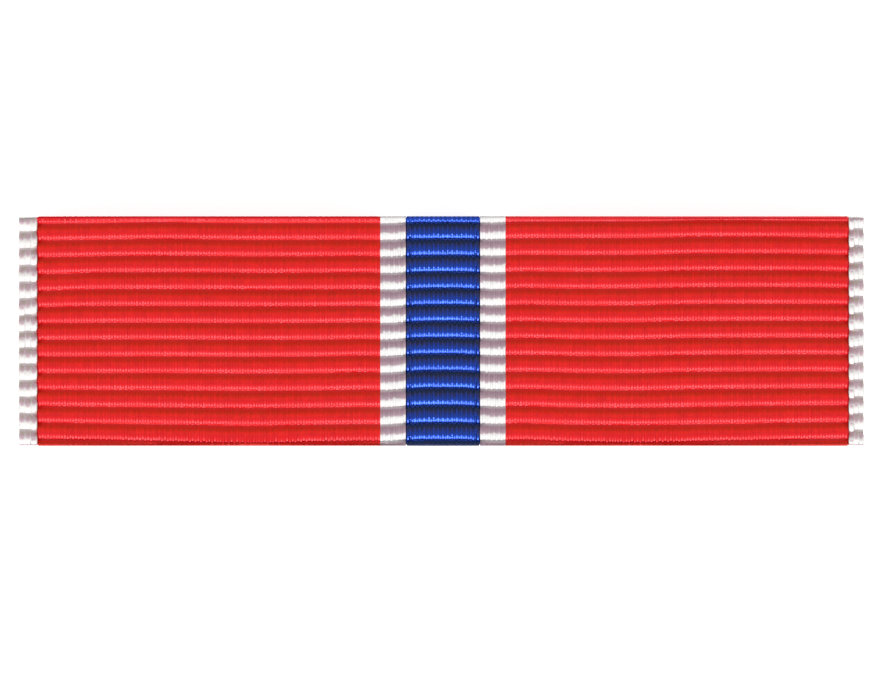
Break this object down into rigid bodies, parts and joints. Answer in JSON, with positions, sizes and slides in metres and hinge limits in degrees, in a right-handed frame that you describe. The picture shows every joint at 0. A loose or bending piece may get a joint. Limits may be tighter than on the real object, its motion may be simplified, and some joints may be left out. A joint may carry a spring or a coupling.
{
  "type": "ribbon bar",
  "caption": "Flat ribbon bar: a ribbed, striped ribbon folded over a shallow brass channel, with a brooch pin along its open back.",
  "frame": {"origin": "middle of the bar's back, in the plane of the two brass lips that it lies on", "axes": "+X along the bar to the right of its front, +Y up its front as it is worn, +Z out of its front"},
  "size_m": [0.0348, 0.0096, 0.0032],
  "materials": {
    "ribbon": "ribbed silk-like weave: red, with a blue centre stripe edged in white and narrow white selvedges",
    "brass": "rolled brass sheet, lightly tarnished, brighter along the bends",
    "pin_wire": "nickel-plated steel wire, drawn and lightly worn"
  },
  "bodies": {
    "root": {"ribbon": "ribbon", "backing_plate": "brass", "pin": "pin_wire"}
  },
  "joints": []
}
